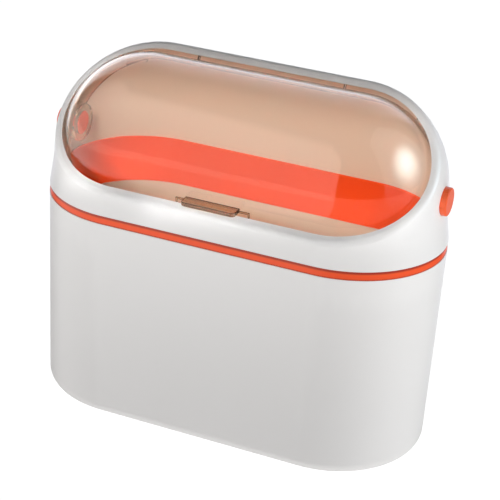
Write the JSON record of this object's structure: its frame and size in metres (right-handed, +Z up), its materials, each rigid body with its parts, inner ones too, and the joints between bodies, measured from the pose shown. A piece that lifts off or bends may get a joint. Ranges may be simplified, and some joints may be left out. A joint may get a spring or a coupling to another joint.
{
  "type": "lidded waste bin",
  "caption": "Small benchtop waste bin with a stadium plan: white tub, orange bag ring, lift-off domed cover and a clear amber roll-top lid on two side pivots.",
  "frame": {"origin": "centre of the footprint, at the underside of the feet", "axes": "+X along the bin's length to its right, +Y to its back, +Z up"},
  "size_m": [0.25, 0.1186, 0.2185],
  "materials": {
    "white_tub": "fine satin moulded white",
    "white_cover": "fine satin moulded white",
    "orange_ring": "satin orange",
    "orange_pivot": "satin orange",
    "washer_white": "natural acetal",
    "foot_rubber": "matt grey rubber",
    "amber_clear": "clear smoky amber plastic, polished",
    "amber_tab": "smoky amber plastic, seen dense"
  },
  "bodies": {
    "tub": {"tub_shell": "white_tub", "foot_pad_front_left": "foot_rubber", "foot_pad_front_right": "foot_rubber", "foot_pad_rear_left": "foot_rubber", "foot_pad_rear_right": "foot_rubber"},
    "ring": {"bag_ring": "orange_ring"},
    "cover": {"upper_cover": "white_cover", "pivot_pin_left": "orange_pivot", "pivot_pin_right": "orange_pivot", "pivot_cap_left": "orange_pivot", "pivot_cap_right": "orange_pivot", "pivot_washer_left": "washer_white", "pivot_washer_right": "washer_white"},
    "lid": {"dome_lid": "amber_clear", "handle_tab": "amber_tab"}
  },
  "joints": [
    {"name": "ring_lift", "type": "slide", "parent": "tub", "child": "ring", "axis": [0, 0, 1], "range_m": [0, 0.06]},
    {"name": "cover_lift", "type": "slide", "parent": "ring", "child": "cover", "axis": [0, 0, 1], "range_m": [0, 0.1]},
    {"name": "lid_hinge", "type": "hinge", "parent": "cover", "child": "lid", "pos_m": [0, 0, 0.166], "axis": [-1, 0, 0], "range_deg": [0, 120]}
  ]
}
